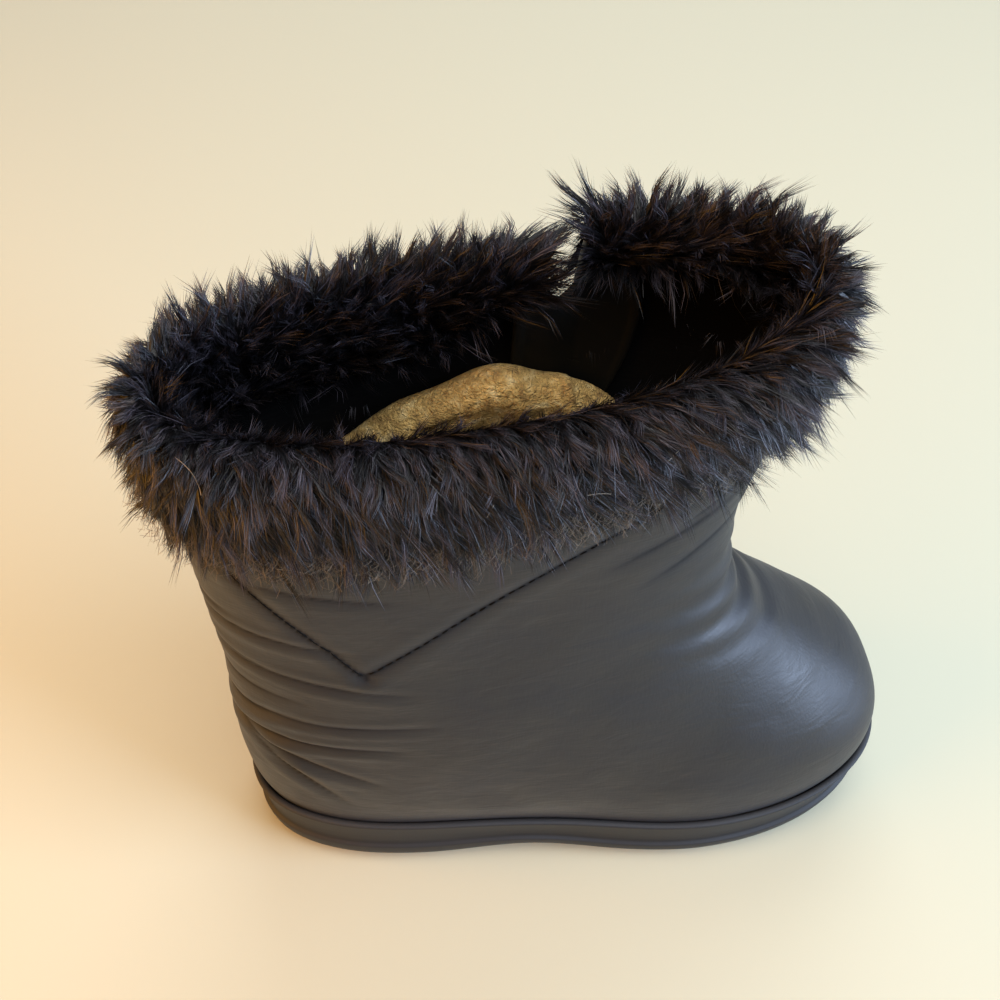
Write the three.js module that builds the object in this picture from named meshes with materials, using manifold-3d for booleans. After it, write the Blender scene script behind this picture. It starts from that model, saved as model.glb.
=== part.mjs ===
// A small child's snow boot for the left foot, slack and empty, standing on its sole.
// Pieces: moulded sole, insole, nylon upper with its shaft, gusset behind the side slit, and deep fur cuff.
// X runs from heel to toe, Y to the wearer's left, which is the outer side, and Z up from the floor, in mm.
import * as THREE from "three";
import { mergeVertices } from "three/addons/utils/BufferGeometryUtils.js";
import Module from "manifold-3d";

const wasm = await Module();
wasm.setup();

// Driving sizes
const fitGap = 0.3; // clearance between pieces that meet
const wallThickness = 2.4; // nylon, foam and backing together
const footbedHeight = 15; // top of the sole under the ball of the foot
const heelRaise = 3; // how much higher the footbed is under the heel
const toeSpring = 6; // rise of the sole at the tip of the toe
const archRise = 2.5; // hollow under the waist of the sole
const lugDepth = 4;
const insoleThickness = 3;
const mouthSag = 6; // the slack inner side of the collar hangs this much lower
const flapFlare = 4; // the front of the collar, past the slit, leans out this far
const flapLift = 4; // and stands this much higher

// Mesh density
const columns = 48; // points round the foot
const rings = 21; // steps from the feather line to the collar

// A table's rows as objects, with the names of its columns
const table = (names, rows) =>
  rows.map((row) => Object.fromEntries(names.split(" ").map((name, k) => [name, row[k]])));

// Sections from the feather line up to the collar. Back and front are the ends of each one on the boot's
// centre plane, and the half widths are near its heel and at its ball. A higher square is a blunter oval,
// and toeIn is how far the toe bends to the inner side.
const upperSections = table("backX backZ frontX frontZ heelHalf ballHalf waistDip square toeIn", [
  [3.0, 15, 160.0, 15, 26.5, 32.5, 2.6, 2.6, 5.0], // feather line
  [1.2, 25, 163.0, 25, 28.5, 34.5, 2.0, 2.6, 5.0], // widest part of the toe
  [0.3, 33, 162.0, 37, 29.5, 34.5, 1.0, 2.6, 4.6],
  [0.0, 42, 156.5, 49, 29.5, 32.5, 0.3, 2.6, 3.6], // top of the toe
  [0.0, 53, 146.0, 60, 29.0, 30.0, 0.0, 2.5, 2.2], // instep
  [0.5, 66, 132.5, 72, 27.5, 27.5, 0.0, 2.45, 1.0],
  [1.0, 83, 119.5, 88, 25.5, 24.5, 0.0, 2.4, 0.0], // ankle
  [0.8, 105, 116.5, 110, 23.0, 22.0, 0.0, 2.3, 0.0],
  [0.3, 134, 119.0, 140, 20.8, 20.0, 0.0, 2.2, 0.0], // shaft, under the fur
  [0.0, 165, 121.5, 173, 19.5, 19.0, 0.0, 2.15, 0.0], // collar
]);
const collarLevel = upperSections.length - 1;
const collarRowHeight = 32; // height of the last row of sections, near the collar
const ringDrop = (collarRowHeight * collarLevel) / rings; // height of one step of the wall, near the collar

// The slit in the outer side of the collar, and the gusset behind it
const slit = { turn: 14.5 / columns, topWidth: 7, footWidth: 1.6, depth: 48 };
const gusset = {
  rearReach: 1.2 / columns,
  frontTop: 0.7 / columns, // the front edge swells from its top to a belly, then draws in to its foot
  frontReach: 2.2 / columns,
  frontFoot: 1 / columns,
  top: 9,
  belly: 19,
  bottom: 58,
  thickness: 0.8,
  slack: 0.6,
};

// Side of the sole from its underside up to the footbed: how far it stands out and its share of that height
const soleSide = table("out share", [
  [0.4, 0],
  [2.4, 0.14],
  [3.0, 0.5], // upper edge of the step
  [2.0, 0.56],
  [2.3, 1],
]);
const soleLip = { level: 0.72, out: 2.1 }; // the rim that cups the foot of the upper

// Rows of tread bars, by distance from the heel
const treadRows = [16, 30, 44, 92, 106, 120, 134, 148];
const treadBar = { length: 8.5, centreGap: 5, edgeInset: 2.5, sweep: 4, sink: 1.5 };

// Section of the fur round the collar: distance out from the upper's face, and height over the collar's edge
const furInside = -wallThickness - fitGap;
const furSection = table("out up", [
  [fitGap, -26],
  [3.6, -28.5],
  [5.8, -22],
  [6.4, -12],
  [6.0, -1],
  [3.8, 5],
  [0.0, 7.4], // crown
  [-4.2, 5.5],
  [-6.2, -2],
  [-6.4, -12],
  [-5.0, -19],
  [furInside, -21.5],
  [furInside, -ringDrop],
  [furInside, fitGap],
  [fitGap, fitGap],
  [fitGap, -ringDrop],
]);
const furEnds = 0.5 / columns; // half the gap at the slit, as a share of the way round
const furShort = { turn: 0.355, reach: 0.075, fade: 0.06, share: 0.34 }; // inside, beside the slit
const furThinEnds = 0.5; // share of its thickness inside that is left at the heel and front of the collar
const furHemFront = 0.7; // share of its depth down the outside that is left at the front
const furThinFront = 0.75; // share of its thickness outside that is left at the front

// Rows of locks fused on the fur: where they root, which way they lean, and how far they reach
const lockRows = table("out up leanOut leanUp reach count", [
  [4.2, -25, 0.5, -0.87, 6.5, 18], // hem
  [5.0, -16, 0.62, -0.78, 7, 15],
  [5.0, -5, 0.72, -0.69, 7, 15],
  [3.6, 2.2, 0.86, 0.51, 6.5, 16], // rim
  [0.2, 5, 0.3, 0.95, 6, 15], // crown
  [-4.8, -1, -0.6, 0.8, 4.5, 10], // inside
]);
const lockRoot = { wide: 6.2, deep: 3.1 }; // half width and half depth of a lock where it leaves the fur
const lockTip = { sink: 1.5, bendAt: 0.5, bendShare: 0.66, droop: 1.5, sway: 2.6 };

const finishes = {
  rubber: new THREE.MeshStandardMaterial({ color: 0x1b1b1c, roughness: 0.8, metalness: 0 }),
  nylon: new THREE.MeshStandardMaterial({ color: 0x24262a, roughness: 0.45, metalness: 0 }),
  lining: new THREE.MeshStandardMaterial({ color: 0x17181a, roughness: 0.55, metalness: 0 }),
  felt: new THREE.MeshStandardMaterial({ color: 0xb08c58, roughness: 0.95, metalness: 0 }),
  fur: new THREE.MeshStandardMaterial({ color: 0x141316, roughness: 0.9, metalness: 0 }),
};

// Curves that the sections share
const lerp = THREE.MathUtils.lerp;
const ease = (value, low, high) => THREE.MathUtils.smoothstep(value, low, high);
const hump = (value, centre, reach) => 1 - ease(Math.abs(value - centre), 0, reach);
const springAt = (x) => toeSpring * ease(x, 122, 178);
const footbedAt = (x) => footbedHeight + heelRaise * (1 - ease(x, 45, 105)) + springAt(x);
const underAt = (x) => lugDepth + archRise * hump(x, 68, 26) + springAt(x);
const wrap = (turn) => turn - Math.floor(turn);
const turnApart = (a, b) => Math.abs(wrap(a - b + 0.5) - 0.5);
const jitter = (seed) => wrap(Math.sin(seed * 12.9898) * 43758.5453);

// One row of the section table at any level between the rows, on smooth curves
function sectionAt(level) {
  const row = Math.min(Math.max(Math.floor(level), 0), collarLevel - 1);
  const t = level - row;
  const at = (i) => upperSections[Math.min(Math.max(i, 0), collarLevel)];
  const [a, b, c, d] = [at(row - 1), at(row), at(row + 1), at(row + 2)];
  const blend = (k) =>
    0.5 * (2 * b[k] + (c[k] - a[k]) * t + (2 * a[k] - 5 * b[k] + 4 * c[k] - d[k]) * t * t
      + (3 * b[k] - a[k] - 3 * c[k] + d[k]) * t * t * t);
  return Object.fromEntries(Object.keys(b).map((k) => [k, blend(k)]));
}

// How much of the front flap's lean a place has: it starts at the slit and dies away along the inner side
const flapShare = (turn) =>
  ease(turn, slit.turn - 0.5 / columns, slit.turn + 0.5 / columns) * (1 - ease(turn, 0.56, 0.8));

// The outer face of the upper. Turn runs from the heel round the outer side, the toe and the inner side.
function wallPoint(turn, level) {
  const c = sectionAt(level);
  const angle = 2 * Math.PI * turn;
  const along = (1 - Math.cos(angle)) / 2;
  const reach = (1 - Math.abs(Math.cos(angle)) ** c.square) ** (1 / c.square);
  const half = lerp(c.heelHalf, c.ballHalf, ease(along, 0.15, 0.75)) - c.waistDip * hump(along, 0.42, 0.3);
  const side = Math.sign(Math.sin(angle));
  const foot = Math.max(0, 1 - level / 3);
  const high = ease(level, collarLevel - 2, collarLevel);
  const x = lerp(c.backX, c.frontX, along);
  const y = side * half * reach - c.toeIn * ease(along, 0.45, 1);
  const seat = (footbedAt(x) - footbedHeight + fitGap) * foot;
  const sag = side < 0 ? mouthSag * reach * high : 0;
  const flap = flapShare(wrap(turn)) * high;
  const lean = new THREE.Vector2(-Math.cos(angle) * 0.8, Math.sin(angle)).normalize();
  return new THREE.Vector3(
    x + lean.x * flapFlare * flap,
    y + lean.y * flapFlare * flap,
    lerp(c.backZ, c.frontZ, along) + seat - sag + flapLift * flap,
  );
}

// The way out of the upper on the level, and the true way out of its face
function levelNormal(turn, level) {
  const step = 0.004;
  const along = wallPoint(turn + step, level).sub(wallPoint(turn - step, level));
  return new THREE.Vector3(-along.y, along.x, 0).normalize();
}
function faceNormal(turn, level) {
  const around = wallPoint(turn + 0.004, level).sub(wallPoint(turn - 0.004, level));
  const low = Math.max(level - 0.05, 0);
  const high = Math.min(level + 0.05, collarLevel);
  const up = wallPoint(turn, high).sub(wallPoint(turn, low));
  return up.cross(around).normalize();
}
const outFrom = (turn, level, out) => wallPoint(turn, level).addScaledVector(levelNormal(turn, level), out);

// A point beside the shaft, by its distance out from the upper and its height over the collar's edge
function besideCollar(turn, out, up) {
  const level = collarLevel + Math.min(up, 0) / collarRowHeight;
  const point = outFrom(turn, level, out);
  point.z += Math.max(up, 0);
  return point;
}

// Closed meshes from rows of points. Faces are turned to point out.
function closedGeometry(points, faces) {
  const corner = (f, i) => points[f[i]];
  const volume = faces.reduce((sum, f) =>
    sum + corner(f, 0).dot(new THREE.Vector3().crossVectors(corner(f, 1), corner(f, 2))), 0);
  const turned = volume < 0 ? faces.map((f) => [f[0], f[2], f[1]]) : faces;
  const geometry = new THREE.BufferGeometry().setFromPoints(points);
  geometry.setIndex(turned.flat());
  return geometry;
}
function gridFaces(rows, across, rowsClose, acrossCloses) {
  const faces = [];
  for (let i = 0; i < (rowsClose ? rows : rows - 1); i++) {
    for (let j = 0; j < (acrossCloses ? across : across - 1); j++) {
      const a = i * across + j;
      const b = i * across + ((j + 1) % across);
      const c = ((i + 1) % rows) * across + ((j + 1) % across);
      const d = ((i + 1) % rows) * across + j;
      faces.push([a, b, c], [a, c, d]);
    }
  }
  return faces;
}
// Closes a ring whose first point is at the heel by strips from side to side
function crossStrips(first, count) {
  const faces = [];
  for (let j = 1; j < count / 2; j++) {
    const [a, b] = [first + j, first + count - j];
    const [c, d] = [first + j - 1, first + ((count - j + 1) % count)];
    faces.push([a, b, c]);
    if (c !== d) faces.push([b, d, c]);
  }
  const toe = first + count / 2;
  faces.push([toe, toe + 1, toe - 1]);
  return faces;
}
function stackedRings(rings) {
  const count = rings[0].length;
  const faces = gridFaces(rings.length, count, false, true);
  const bottom = crossStrips(0, count).map((f) => [f[0], f[2], f[1]]);
  const top = crossStrips((rings.length - 1) * count, count);
  return closedGeometry(rings.flat(), faces.concat(bottom, top));
}
const roundTheFoot = (place) => Array.from({ length: columns }, (_, j) => place(j / columns));

// Joining and cutting
function solidOf(geometry) {
  const bare = geometry.clone();
  bare.deleteAttribute("normal");
  bare.deleteAttribute("uv");
  const merged = mergeVertices(bare, 1e-4);
  const triVerts = new Uint32Array(merged.index.array);
  const vertProperties = new Float32Array(merged.attributes.position.array);
  return new wasm.Manifold(new wasm.Mesh({ numProp: 3, vertProperties, triVerts }));
}
function geometryOf(solid) {
  const mesh = solid.getMesh();
  const geometry = new THREE.BufferGeometry();
  geometry.setAttribute("position", new THREE.BufferAttribute(new Float32Array(mesh.vertProperties), 3));
  geometry.setIndex(new THREE.BufferAttribute(new Uint32Array(mesh.triVerts), 1));
  return geometry;
}

// Sole: underside, stepped side, rim round the upper and the footbed inside it, with tread bars underneath
function soleGeometry() {
  const sideRings = soleSide.map((row) =>
    roundTheFoot((turn) => {
      const point = outFrom(turn, 0, row.out);
      const edge = wallPoint(turn, 0).x;
      point.z = lerp(underAt(edge), footbedAt(edge), row.share);
      return point;
    }));
  const lipOuter = roundTheFoot((turn) => outFrom(turn, soleLip.level, soleLip.out));
  const lipInner = roundTheFoot((turn) => outFrom(turn, soleLip.level, fitGap));
  const bed = roundTheFoot((turn) => {
    const point = outFrom(turn, 0, fitGap);
    point.z -= fitGap;
    return point;
  });
  let sole = solidOf(stackedRings([...sideRings, lipOuter, lipInner, bed]));
  for (const bar of treadBars()) sole = sole.add(bar);
  return geometryOf(sole);
}

// Half width of the sole's underside at a distance from the heel, on one side of the foot
function underHalf(x, side) {
  const c = upperSections[0];
  const along = THREE.MathUtils.clamp((x - c.backX) / (c.frontX - c.backX), 0.01, 0.99);
  const turn = Math.acos(1 - 2 * along) / (2 * Math.PI);
  return Math.abs(wallPoint(side > 0 ? turn : 1 - turn, 0).y);
}
function treadBars() {
  const bars = [];
  for (const x of treadRows) {
    for (const side of [1, -1]) {
      const inner = treadBar.centreGap / 2;
      const back = x - treadBar.length / 2 - treadBar.sweep;
      const room = Math.min(underHalf(back, side), underHalf(back + treadBar.length, side));
      const edge = room - treadBar.edgeInset;
      const outline = new THREE.Shape([
        new THREE.Vector2(x - treadBar.length / 2, side * inner),
        new THREE.Vector2(x + treadBar.length / 2, side * inner),
        new THREE.Vector2(back + treadBar.length, side * edge),
        new THREE.Vector2(back, side * edge),
      ]);
      const floor = underAt(x) - lugDepth - archRise * hump(x, 68, 26);
      const height = underAt(x) - floor + treadBar.sink;
      const bar = new THREE.ExtrudeGeometry(outline, { depth: height, bevelEnabled: false });
      bars.push(solidOf(bar.translate(0, 0, floor)));
    }
  }
  return bars;
}

// Insole: a felt slab that lies on the footbed, inside the upper
function insoleGeometry() {
  const inset = -wallThickness - 2 * fitGap;
  const ringAt = (rise) =>
    roundTheFoot((turn) => {
      const point = outFrom(turn, 0, inset);
      point.z = footbedAt(wallPoint(turn, 0).x) + rise;
      return point;
    });
  return stackedRings([ringAt(fitGap), ringAt(fitGap + insoleThickness)]);
}

// Upper: one wall from the feather line to the collar, open at both, with the slit cut from its outer side
function upperGeometry() {
  const levels = Array.from({ length: rings + 1 }, (_, i) => (collarLevel * i) / rings);
  const outer = levels.map((level) => roundTheFoot((turn) => wallPoint(turn, level)));
  const inner = levels.toReversed().map((level) =>
    roundTheFoot((turn) => {
      const onEdge = level === 0 || level === collarLevel;
      const way = onEdge ? levelNormal(turn, level) : faceNormal(turn, level);
      return wallPoint(turn, level).addScaledVector(way, -wallThickness);
    }));
  const all = [...outer, ...inner];
  const wall = closedGeometry(all.flat(), gridFaces(all.length, columns, true, true));
  return geometryOf(solidOf(wall).subtract(slitCutter()));
}
function slitCutter() {
  const reachOut = 12;
  const over = 25;
  const collar = besideCollar(slit.turn, 0, 0);
  const along = new THREE.Vector3(0, 0, 1).cross(levelNormal(slit.turn, collarLevel));
  const topHalf = (slit.topWidth / 2) * ((slit.depth + over) / slit.depth);
  const outline = new THREE.Shape([
    new THREE.Vector2(-slit.footWidth / 2, -slit.depth),
    new THREE.Vector2(slit.footWidth / 2, -slit.depth),
    new THREE.Vector2(topHalf, over),
    new THREE.Vector2(-topHalf, over),
  ]);
  const wedge = new THREE.ExtrudeGeometry(outline, { depth: 2 * reachOut, bevelEnabled: false });
  wedge.translate(0, 0, -reachOut);
  const stand = new THREE.Matrix4().makeBasis(
    along, new THREE.Vector3(0, 0, 1), new THREE.Vector3().crossVectors(along, new THREE.Vector3(0, 0, 1)));
  wedge.applyMatrix4(stand.setPosition(collar));
  return solidOf(wedge);
}

// Gusset: a thin panel inside the wall behind the slit, with a rounded front edge
function gussetFront(drop) {
  const { frontTop, frontReach, frontFoot, top, belly, bottom } = gusset;
  const above = Math.max(0, (belly - drop) / (belly - top));
  if (above > 0) return lerp(frontTop, frontReach, Math.sqrt(1 - above ** 2));
  return lerp(frontReach, frontFoot, ease(drop, belly, bottom));
}
function gussetGeometry() {
  const across = 9;
  const down = 8;
  const first = slit.turn - gusset.rearReach;
  const face = (depth) => {
    const points = [];
    for (let i = 0; i <= down; i++) {
      const drop = lerp(gusset.top, gusset.bottom, (i / down) ** 1.5);
      const last = slit.turn + gussetFront(drop);
      for (let j = 0; j <= across; j++) {
        const turn = lerp(first, last, j / across);
        const level = collarLevel - drop / collarRowHeight;
        points.push(wallPoint(turn, level).addScaledVector(faceNormal(turn, level), -depth));
      }
    }
    return points;
  };
  const near = face(wallThickness + gusset.slack);
  const far = face(wallThickness + gusset.slack + gusset.thickness);
  const side = gridFaces(down + 1, across + 1, false, false);
  const faces = side.concat(side.map((f) => [f[0] + near.length, f[2] + near.length, f[1] + near.length]));
  const rim = [];
  for (let j = 0; j < across; j++) rim.push(j);
  for (let i = 0; i < down; i++) rim.push(i * (across + 1) + across);
  for (let j = across; j > 0; j--) rim.push(down * (across + 1) + j);
  for (let i = down; i > 0; i--) rim.push(i * (across + 1));
  rim.forEach((a, k) => {
    const b = rim[(k + 1) % rim.length];
    faces.push([a, b + near.length, b], [a, a + near.length, b + near.length]);
  });
  return closedGeometry([...near, ...far], faces);
}

// Fur cuff: the section carried round the collar from one edge of the slit to the other, with locks fused on
const insideShare = (turn) => {
  const { reach, fade, share } = furShort;
  return lerp(share, 1, ease(turnApart(turn, furShort.turn), reach, reach + fade));
};
// The fur's hem rises to the front. Inside, it is short beside the gusset and thin in the tight ends.
function furPoint(turn, out, up) {
  const along = (1 - Math.cos(2 * Math.PI * turn)) / 2;
  if (out > -wallThickness) {
    const thin = out > fitGap ? lerp(1, furThinFront, ease(along, 0.55, 1)) : 1;
    const hem = lerp(1, furHemFront, ease(along, 0.3, 1));
    return besideCollar(turn, fitGap + (out - fitGap) * thin, up < 0 ? up * hem : up);
  }
  const depth = lerp(furThinEnds, 1, ease(Math.abs(Math.sin(2 * Math.PI * turn)), 0.1, 0.75));
  return besideCollar(turn, furInside + (out - furInside) * depth, up < 0 ? up * insideShare(turn) : up);
}
function furCoreGeometry() {
  const points = [];
  for (let i = 0; i < columns; i++) {
    const turn = slit.turn + furEnds + i / columns;
    for (const place of furSection) points.push(furPoint(turn, place.out, place.up));
  }
  const count = furSection.length;
  const faces = gridFaces(columns, count, false, true);
  const contour = furSection.map((place) => new THREE.Vector2(place.out, place.up));
  const cap = THREE.ShapeUtils.triangulateShape(contour, []);
  const end = (columns - 1) * count;
  const contourWay = Math.sign(THREE.ShapeUtils.area(contour));
  const faceWay = (f) => Math.sign(THREE.ShapeUtils.area(f.map((k) => contour[k])));
  const firstCap = cap.map((f) => (faceWay(f) === contourWay ? [f[0], f[2], f[1]] : f));
  const lastCap = firstCap.map((f) => [f[0] + end, f[2] + end, f[1] + end]);
  return closedGeometry(points, faces.concat(firstCap, lastCap));
}
function lockGeometry(root, way, reach, sway) {
  const sideways = new THREE.Vector3(0, 0, 1).cross(way).normalize();
  const across = new THREE.Vector3().crossVectors(way, sideways);
  const ring = (centre, share) =>
    [0, 1, 2].map((k) => {
      const angle = (2 * Math.PI * k) / 3 + Math.PI / 2;
      return centre.clone().addScaledVector(sideways, lockRoot.wide * share * Math.cos(angle))
        .addScaledVector(across, lockRoot.deep * share * Math.sin(angle));
    });
  const foot = root.clone().addScaledVector(way, -lockTip.sink);
  const bend = root.clone().addScaledVector(way, reach * lockTip.bendAt);
  const tip = root.clone().addScaledVector(way, reach).addScaledVector(sideways, sway);
  tip.z -= lockTip.droop;
  const points = [...ring(foot, 1), ...ring(bend, lockTip.bendShare), tip];
  const faces = [[0, 2, 1], ...gridFaces(2, 3, false, true), [3, 4, 6], [4, 5, 6], [5, 3, 6]];
  return closedGeometry(points, faces);
}
function cuffGeometry() {
  const locks = [];
  lockRows.forEach((row, rowIndex) => {
    for (let i = 0; i < row.count; i++) {
      const seed = rowIndex * 100 + i + 1;
      const share = (i + 0.5 + 0.5 * (rowIndex % 2) + 0.3 * (jitter(seed) - 0.5)) / (row.count + 0.5);
      const turn = slit.turn + lerp(furEnds + 0.012, 1 - furEnds - 0.012, share);
      const root = furPoint(turn, row.out, row.up + 2 * (jitter(seed + 7) - 0.5));
      const way = levelNormal(turn, collarLevel).multiplyScalar(row.leanOut);
      way.z = row.leanUp;
      const reach = row.reach * (0.85 + 0.3 * jitter(seed + 3));
      const sway = lockTip.sway * (2 * jitter(seed + 5) - 1);
      locks.push(solidOf(lockGeometry(root, way.normalize(), reach, sway)));
    }
  });
  let cuff = solidOf(furCoreGeometry());
  for (const lock of locks) cuff = cuff.add(lock);
  return geometryOf(cuff.subtract(collarRoom()));
}
// The room that the fur leaves for the collar's wall, so that no lock reaches into it
function collarRoom() {
  const ups = [-5, -4, -3, -2, -1].map((step) => step * ringDrop);
  const ringAt = (out, up) => roundTheFoot((turn) => besideCollar(turn, out, up));
  const outer = [...ups, fitGap].map((up) => ringAt(fitGap, up));
  const inner = [fitGap, ...ups.toReversed()].map((up) => ringAt(furInside, up));
  const all = [...outer, ...inner];
  return solidOf(closedGeometry(all.flat(), gridFaces(all.length, columns, true, true)));
}

// The boot, with its origin on the floor under the middle of its own box
const boot = new THREE.Group();
const pieces = [
  { name: "sole", geometry: soleGeometry(), finish: finishes.rubber },
  { name: "insole", geometry: insoleGeometry(), finish: finishes.felt },
  { name: "upper", geometry: upperGeometry(), finish: finishes.nylon },
  { name: "gusset", geometry: gussetGeometry(), finish: finishes.lining },
  { name: "fur_cuff", geometry: cuffGeometry(), finish: finishes.fur },
];
for (const piece of pieces) {
  const mesh = new THREE.Mesh(piece.geometry, piece.finish);
  mesh.name = piece.name;
  boot.add(mesh);
}
const box = new THREE.Box3().setFromObject(boot);
const middle = box.getCenter(new THREE.Vector3());
for (const mesh of boot.children) mesh.position.set(-middle.x, -middle.y, -box.min.z);

export default boot;
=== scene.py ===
import math

import bpy
import numpy as np
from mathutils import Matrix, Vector


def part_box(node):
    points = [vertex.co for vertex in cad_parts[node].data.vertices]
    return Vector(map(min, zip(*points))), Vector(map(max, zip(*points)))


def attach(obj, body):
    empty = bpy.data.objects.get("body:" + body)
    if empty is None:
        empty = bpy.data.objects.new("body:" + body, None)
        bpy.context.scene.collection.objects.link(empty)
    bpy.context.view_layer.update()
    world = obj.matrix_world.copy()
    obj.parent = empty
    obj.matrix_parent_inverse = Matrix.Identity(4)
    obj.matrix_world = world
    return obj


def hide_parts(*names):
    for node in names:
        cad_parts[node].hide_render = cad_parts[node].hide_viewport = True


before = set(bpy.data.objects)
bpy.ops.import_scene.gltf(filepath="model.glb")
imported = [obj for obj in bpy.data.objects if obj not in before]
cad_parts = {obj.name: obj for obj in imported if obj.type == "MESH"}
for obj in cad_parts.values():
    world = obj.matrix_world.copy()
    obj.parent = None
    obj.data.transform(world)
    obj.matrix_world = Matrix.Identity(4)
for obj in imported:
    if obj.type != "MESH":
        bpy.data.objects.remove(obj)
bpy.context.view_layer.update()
mm = 0.001
print("boot: solids loaded")

# The boot's form in mm from the back of the heel, with the same sections as the solids.
# Columns: backX backZ frontX frontZ heelHalf ballHalf waistDip square toeIn
bootForm = {
    "sections": np.array([
        [3.0, 15, 160.0, 15, 26.5, 32.5, 2.6, 2.60, 5.0],  # feather line
        [1.2, 25, 163.0, 25, 28.5, 34.5, 2.0, 2.60, 5.0],
        [0.3, 33, 162.0, 37, 29.5, 34.5, 1.0, 2.60, 4.6],
        [0.0, 42, 156.5, 49, 29.5, 32.5, 0.3, 2.60, 3.6],  # top of the toe
        [0.0, 53, 146.0, 60, 29.0, 30.0, 0.0, 2.50, 2.2],
        [0.5, 66, 132.5, 72, 27.5, 27.5, 0.0, 2.45, 1.0],
        [1.0, 83, 119.5, 88, 25.5, 24.5, 0.0, 2.40, 0.0],  # ankle
        [0.8, 105, 116.5, 110, 23.0, 22.0, 0.0, 2.30, 0.0],
        [0.3, 134, 119.0, 140, 20.8, 20.0, 0.0, 2.20, 0.0],
        [0.0, 165, 121.5, 173, 19.5, 19.0, 0.0, 2.15, 0.0],  # collar
    ]),
    "collarRow": 32.0,  # height of the last row of sections
    "wall": 2.4,
    "gap": 0.3,
    "footbed": 15.0,
    "heelRaise": 3.0,
    "toeSpring": 6.0,
    "archRise": 2.5,
    "lugDepth": 4.0,
    "mouthSag": 6.0,
    "flapFlare": 4.0,
    "flapLift": 4.0,
    "slitTurn": 14.5 / 48,
    "slitTop": 7.0,
    "slitDepth": 48.0,
    "slitRound": 372.0,  # mm to a whole turn, beside the slit
    "solidColumns": 48,
    "solidRings": 21,
}
collar = len(bootForm["sections"]) - 1


def ease(value, low, high):
    # a smooth step from 0 at low to 1 at high
    t = np.clip((np.asarray(value, float) - low) / (high - low), 0, 1)
    return t * t * (3 - 2 * t)


def hump(value, centre, reach):
    # a smooth hill: 1 at its centre and 0 from its reach on
    return 1 - ease(np.abs(np.asarray(value, float) - centre), 0, reach)


def mix(a, b, share):
    return a + (b - a) * share


def unit(vectors):
    return vectors / np.maximum(np.linalg.norm(vectors, axis=-1, keepdims=True), 1e-9)


def springAt(x):
    # the toe's rise off the ground
    return bootForm["toeSpring"] * ease(x, 122, 178)


def footbedAt(x):
    return bootForm["footbed"] + bootForm["heelRaise"] * (1 - ease(x, 45, 105)) + springAt(x)


def underAt(x):
    return bootForm["lugDepth"] + bootForm["archRise"] * hump(x, 68, 26) + springAt(x)


def sectionAt(level):
    # a smooth curve through the rows of the table, column by column
    row = np.clip(np.floor(level).astype(int), 0, collar - 1)
    t = (level - row)[..., None]
    a, b, c, d = (bootForm["sections"][np.clip(row + k, 0, collar)] for k in (-1, 0, 1, 2))
    return 0.5 * (2 * b + (c - a) * t + (2 * a - 5 * b + 4 * c - d) * t**2 + (3 * b - a - 3 * c + d) * t**3)


def wallPoint(turn, level, flapped=1.0):
    # outer face of the upper: an oval from back to front at each level, its half width eased from heel
    # to ball, with the toe bent in, the inner side of the collar sagging and the front flap leaning out
    turn, level = np.broadcast_arrays(np.asarray(turn, float), np.asarray(level, float))
    section = np.moveaxis(sectionAt(level), -1, 0)
    backX, backZ, frontX, frontZ, heelHalf, ballHalf, waistDip, square, toeIn = section
    angle = 2 * np.pi * turn
    along = (1 - np.cos(angle)) / 2
    side = np.sign(np.sin(angle))
    reach = np.maximum(1 - np.abs(np.cos(angle)) ** square, 0) ** (1 / square)
    half = mix(heelHalf, ballHalf, ease(along, 0.15, 0.75)) - waistDip * hump(along, 0.42, 0.3)
    high = ease(level, collar - 2, collar)
    slitTurn, column = bootForm["slitTurn"], 0.5 / bootForm["solidColumns"]
    wrapped = turn - np.floor(turn)
    infront = ease(wrapped, slitTurn - column, slitTurn + column) * (1 - ease(wrapped, 0.56, 0.8))
    flap = flapped * infront * high
    outward = unit(np.stack([-0.8 * np.cos(angle), np.sin(angle)], -1))
    lean = outward * (bootForm["flapFlare"] * flap)[..., None]
    x = mix(backX, frontX, along)
    seat = (footbedAt(x) - bootForm["footbed"] + bootForm["gap"]) * np.maximum(0, 1 - level / 3)
    sag = np.where(side < 0, bootForm["mouthSag"] * reach * high, 0)
    y = side * half * reach - toeIn * ease(along, 0.45, 1)
    z = mix(backZ, frontZ, along) + seat - sag + bootForm["flapLift"] * flap
    return np.stack([x + lean[..., 0], y + lean[..., 1], z], -1)


def levelNormal(turn, level):
    # way out of the upper, held level
    around = wallPoint(turn + 0.004, level) - wallPoint(turn - 0.004, level)
    return unit(np.stack([-around[..., 1], around[..., 0], np.zeros_like(around[..., 0])], -1))


def faceNormal(turn, level):
    # way out of the upper, square to its face
    around = wallPoint(turn + 0.004, level) - wallPoint(turn - 0.004, level)
    up = wallPoint(turn, np.minimum(level + 0.05, collar)) - wallPoint(turn, np.maximum(level - 0.05, 0))
    return unit(np.cross(up, around))


def besideCollar(turn, out, up):
    # a place beside the shaft: distance out from its face and height over the collar's edge
    level = collar + np.minimum(up, 0) / bootForm["collarRow"]
    point = wallPoint(turn, level) + levelNormal(turn, level) * np.asarray(out)[..., None]
    point[..., 2] += np.maximum(up, 0)
    return point


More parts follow.
